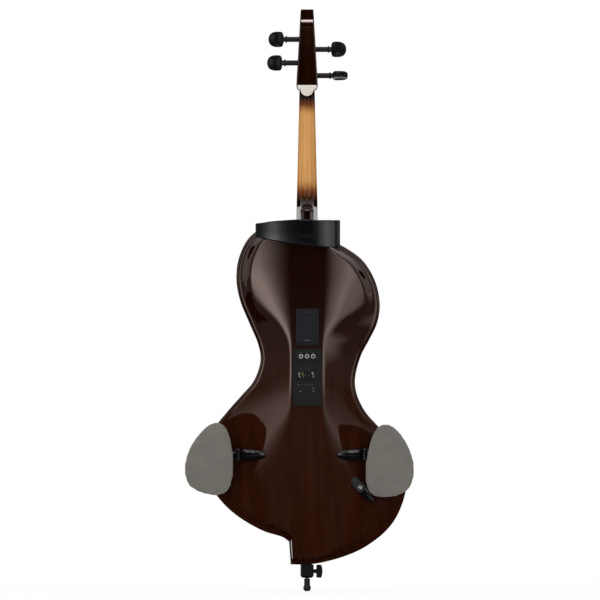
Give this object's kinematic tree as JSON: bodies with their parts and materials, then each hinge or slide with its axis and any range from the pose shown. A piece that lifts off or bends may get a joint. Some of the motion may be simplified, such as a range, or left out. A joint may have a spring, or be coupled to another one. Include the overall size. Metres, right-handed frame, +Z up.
{
  "type": "electric cello",
  "caption": "Electric cello with a thin carved hollow body, a fretless neck and pegbox, folding knee rests, a chest rest, a built-in preamp and a sliding endpin.",
  "frame": {"origin": "centre of the flat under the endpin's rubber foot", "axes": "+Z up along the neck to the head; -Y is the back, which carries the rests and the preamp; +Y is the strings' side"},
  "size_m": [0.494, 0.1417, 1.258],
  "materials": {
    "back_lacquer": "deep gloss red-brown lacquer, almost black",
    "top_varnish": "gloss amber varnish with a dark edge",
    "neck_maple": "satin varnish over figured maple, dark at both ends",
    "ebony": "polished ebony",
    "bone": "satin off-white",
    "bridge_maple": "unvarnished maple",
    "pickup_metal": "brushed",
    "dark_metal": "satin black",
    "dark_cord": "satin black cord",
    "satin_plastic": "satin charcoal",
    "bright_steel": "polished",
    "foot_rubber": "matt",
    "gloss_black": "high gloss",
    "grey_rubber": "matt",
    "nickel": "polished nickel",
    "board_green": "satin",
    "cell_label": "plain wrapper",
    "pad_felt": "matt warm grey cloth",
    "string_steel": "wound steel"
  },
  "bodies": {
    "instrument": {"body_back": "back_lacquer", "top_plate": "top_varnish", "neck": "neck_maple", "fingerboard": "ebony", "nut": "bone", "bridge": "bridge_maple", "bridge_pickup": "pickup_metal", "tailpiece": "ebony", "tail_loop": "dark_cord", "tail_post": "dark_metal", "string_a": "string_steel", "string_d": "string_steel", "string_g": "string_steel", "string_c": "string_steel", "endpin_collar": "satin_plastic", "chest_rest": "gloss_black", "rest_bracket_left": "gloss_black", "rest_bracket_right": "gloss_black", "rest_pin_left": "dark_metal", "rest_pin_right": "dark_metal", "support_bracket": "gloss_black", "support_screw": "nickel", "preamp_panel": "satin_plastic", "jack_1": "nickel", "jack_2": "nickel", "jack_3": "nickel", "circuit_board": "board_green", "battery_box": "satin_plastic", "battery": "cell_label"},
    "tuning_peg_a": {"peg_a": "ebony", "winding_a": "string_steel"},
    "tuning_peg_d": {"peg_d": "ebony", "winding_d": "string_steel"},
    "tuning_peg_g": {"peg_g": "ebony", "winding_g": "string_steel"},
    "tuning_peg_c": {"peg_c": "ebony", "winding_c": "string_steel"},
    "fine_tuner_body_a": {"fine_tuner_a": "nickel"},
    "fine_tuner_body_d": {"fine_tuner_d": "nickel"},
    "fine_tuner_body_g": {"fine_tuner_g": "nickel"},
    "fine_tuner_body_c": {"fine_tuner_c": "nickel"},
    "endpin": {"endpin_rod": "bright_steel", "endpin_foot": "foot_rubber"},
    "endpin_lock": {"wing_screw": "satin_plastic"},
    "rest_fold_left": {"rest_arm_left": "gloss_black"},
    "rest_pad_left": {"pad_plate_left": "satin_plastic", "pad_left": "pad_felt"},
    "rest_fold_right": {"rest_arm_right": "gloss_black"},
    "rest_pad_right": {"pad_plate_right": "satin_plastic", "pad_right": "pad_felt"},
    "side_support": {"support_arm": "grey_rubber"},
    "door": {"battery_door": "satin_plastic"},
    "slider_body_1": {"slider_1": "satin_plastic"},
    "slider_body_2": {"slider_2": "satin_plastic"},
    "slider_body_3": {"slider_3": "satin_plastic"},
    "slider_body_4": {"slider_4": "satin_plastic"},
    "slider_body_5": {"slider_5": "satin_plastic"},
    "button_body_1": {"button_1": "bone"},
    "button_body_2": {"button_2": "bone"}
  },
  "joints": [
    {"name": "peg_turn_a", "type": "hinge", "parent": "instrument", "child": "tuning_peg_a", "pos_m": [0, 0.02952, 1.1425], "axis": [1, 0, 0], "continuous": true},
    {"name": "peg_turn_d", "type": "hinge", "parent": "instrument", "child": "tuning_peg_d", "pos_m": [0, 0.02751, 1.1934], "axis": [1, 0, 0], "continuous": true},
    {"name": "peg_turn_g", "type": "hinge", "parent": "instrument", "child": "tuning_peg_g", "pos_m": [0, 0.02838, 1.1717], "axis": [1, 0, 0], "continuous": true},
    {"name": "peg_turn_c", "type": "hinge", "parent": "instrument", "child": "tuning_peg_c", "pos_m": [0, 0.03043, 1.115], "axis": [1, 0, 0], "continuous": true},
    {"name": "fine_tuner_turn_a", "type": "hinge", "parent": "instrument", "child": "fine_tuner_body_a", "pos_m": [-0.019, 0.0568, 0.274], "axis": [0, 1, 0], "range_deg": [-720, 720]},
    {"name": "fine_tuner_turn_d", "type": "hinge", "parent": "instrument", "child": "fine_tuner_body_d", "pos_m": [-0.00635, 0.0568, 0.274], "axis": [0, 1, 0], "range_deg": [-720, 720]},
    {"name": "fine_tuner_turn_g", "type": "hinge", "parent": "instrument", "child": "fine_tuner_body_g", "pos_m": [0.00635, 0.0568, 0.274], "axis": [0, 1, 0], "range_deg": [-720, 720]},
    {"name": "fine_tuner_turn_c", "type": "hinge", "parent": "instrument", "child": "fine_tuner_body_c", "pos_m": [0.019, 0.0568, 0.274], "axis": [0, 1, 0], "range_deg": [-720, 720]},
    {"name": "endpin_slide", "type": "slide", "parent": "instrument", "child": "endpin", "axis": [0, 0, -1], "range_m": [0, 0.3]},
    {"name": "endpin_lock_turn", "type": "hinge", "parent": "instrument", "child": "endpin_lock", "pos_m": [0, 0, 0.04335], "axis": [1, 0, 0], "range_deg": [-90, 720]},
    {"name": "rest_fold_left", "type": "hinge", "parent": "instrument", "child": "rest_fold_left", "pos_m": [-0.15008, -0.04, 0.2948], "axis": [0, 0, 1], "range_deg": [0, 65]},
    {"name": "rest_pad_turn_left", "type": "hinge", "parent": "rest_fold_left", "child": "rest_pad_left", "pos_m": [-0.21208, -0.05, 0.2948], "axis": [0, 1, 0], "range_deg": [-30, 30]},
    {"name": "rest_fold_right", "type": "hinge", "parent": "instrument", "child": "rest_fold_right", "pos_m": [0.12499, -0.04, 0.2948], "axis": [0, 0, -1], "range_deg": [0, 45]},
    {"name": "rest_pad_turn_right", "type": "hinge", "parent": "rest_fold_right", "child": "rest_pad_right", "pos_m": [0.18049, -0.05, 0.2948], "axis": [0, 1, 0], "range_deg": [-30, 15]},
    {"name": "side_support_swing", "type": "hinge", "parent": "instrument", "child": "side_support", "pos_m": [0.1153, -0.041, 0.2246], "axis": [0, 1, 0], "range_deg": [-50, 50]},
    {"name": "battery_door_hinge", "type": "hinge", "parent": "instrument", "child": "door", "pos_m": [0.0007, -0.0434, 0.5381], "axis": [1, 0, 0], "range_deg": [0, 95]},
    {"name": "slider_move_1", "type": "slide", "parent": "instrument", "child": "slider_body_1", "axis": [0, 0, 1], "range_m": [-0.01389, 0.00189]},
    {"name": "slider_move_2", "type": "slide", "parent": "instrument", "child": "slider_body_2", "axis": [0, 0, 1], "range_m": [-0.01389, 0.00189]},
    {"name": "slider_move_3", "type": "slide", "parent": "instrument", "child": "slider_body_3", "axis": [0, 0, 1], "range_m": [-0.01105, 0.00473]},
    {"name": "slider_move_4", "type": "slide", "parent": "instrument", "child": "slider_body_4", "axis": [0, 0, 1], "range_m": [-0.01042, 0.00536]},
    {"name": "slider_move_5", "type": "slide", "parent": "instrument", "child": "slider_body_5", "axis": [0, 0, 1], "range_m": [-0.01484, 0.00094]},
    {"name": "button_press_1", "type": "slide", "parent": "instrument", "child": "button_body_1", "axis": [0, 1, 0], "range_m": [0, 0.0012], "stiffness_N_per_m": 300, "springref_m": -0.002},
    {"name": "button_press_2", "type": "slide", "parent": "instrument", "child": "button_body_2", "axis": [0, 1, 0], "range_m": [0, 0.0012], "stiffness_N_per_m": 300, "springref_m": -0.002}
  ]
}
